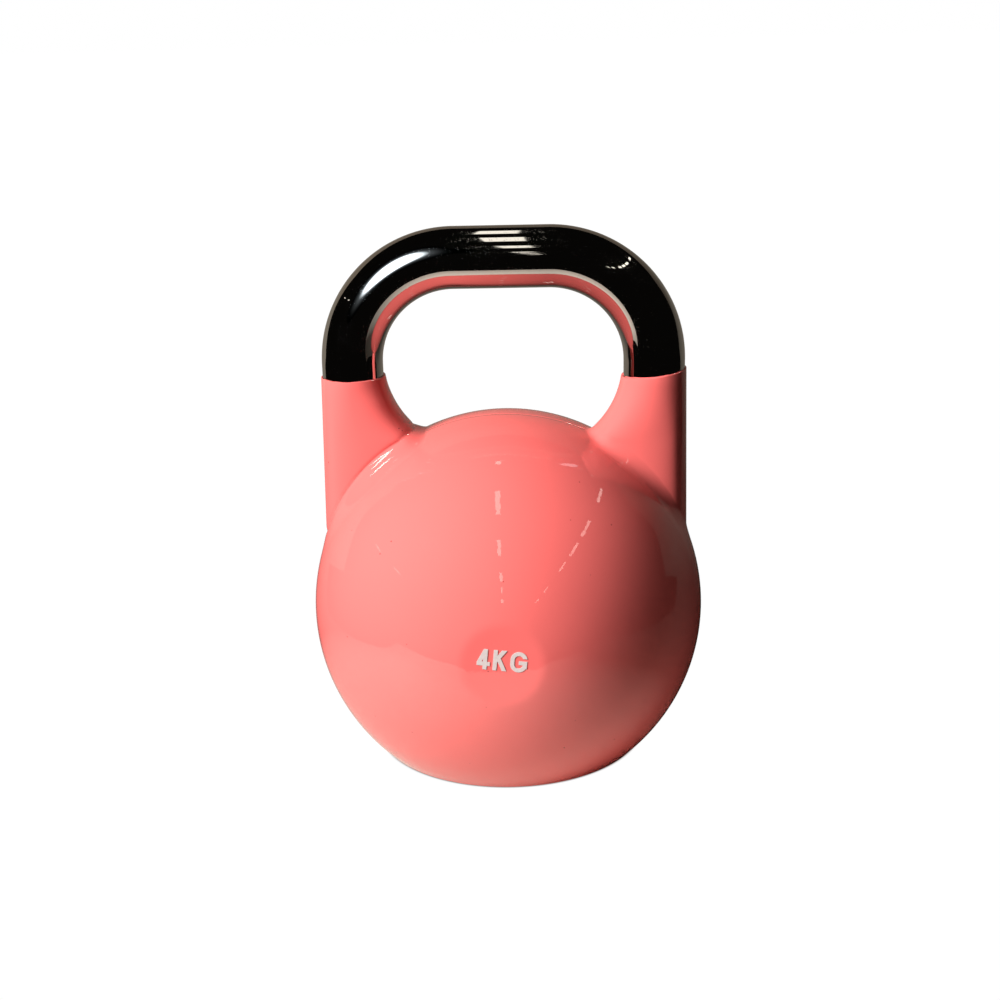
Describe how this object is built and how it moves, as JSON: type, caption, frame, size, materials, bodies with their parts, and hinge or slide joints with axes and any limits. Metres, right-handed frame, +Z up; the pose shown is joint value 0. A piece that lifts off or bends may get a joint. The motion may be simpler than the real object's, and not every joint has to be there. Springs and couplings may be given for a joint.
{
  "type": "kettlebell",
  "caption": "Competition-size kettlebell: hollow coral-painted steel ball with a flat foot and number pads, flared horns and a polished chrome tube grip.",
  "frame": {"origin": "centre of the flat foot, on the floor that the kettlebell stands on", "axes": "+Z up through the ball to the grip; X along the grip's bar; the pad with the weight mark faces -Y"},
  "size_m": [0.21, 0.2078, 0.28],
  "materials": {
    "coral_paint": "gloss",
    "chrome": "polished",
    "bare_steel": "satin",
    "plug_steel": "satin",
    "seal_rubber": "matte",
    "ballast_iron": "matte",
    "white_enamel": "satin"
  },
  "bodies": {
    "root": {"front_shell": "coral_paint", "rear_shell": "coral_paint", "seam_strip_top": "bare_steel", "seam_strip_left": "bare_steel", "seam_strip_right": "bare_steel", "base_plate": "coral_paint", "grip_tube": "chrome", "horn_left": "coral_paint", "horn_right": "coral_paint", "leg_doubler_left": "bare_steel", "leg_doubler_right": "bare_steel", "filler_boss": "bare_steel", "filler_plug": "plug_steel", "plug_seal": "seal_rubber", "ballast_ring": "ballast_iron", "weight_mark": "white_enamel"}
  },
  "joints": []
}
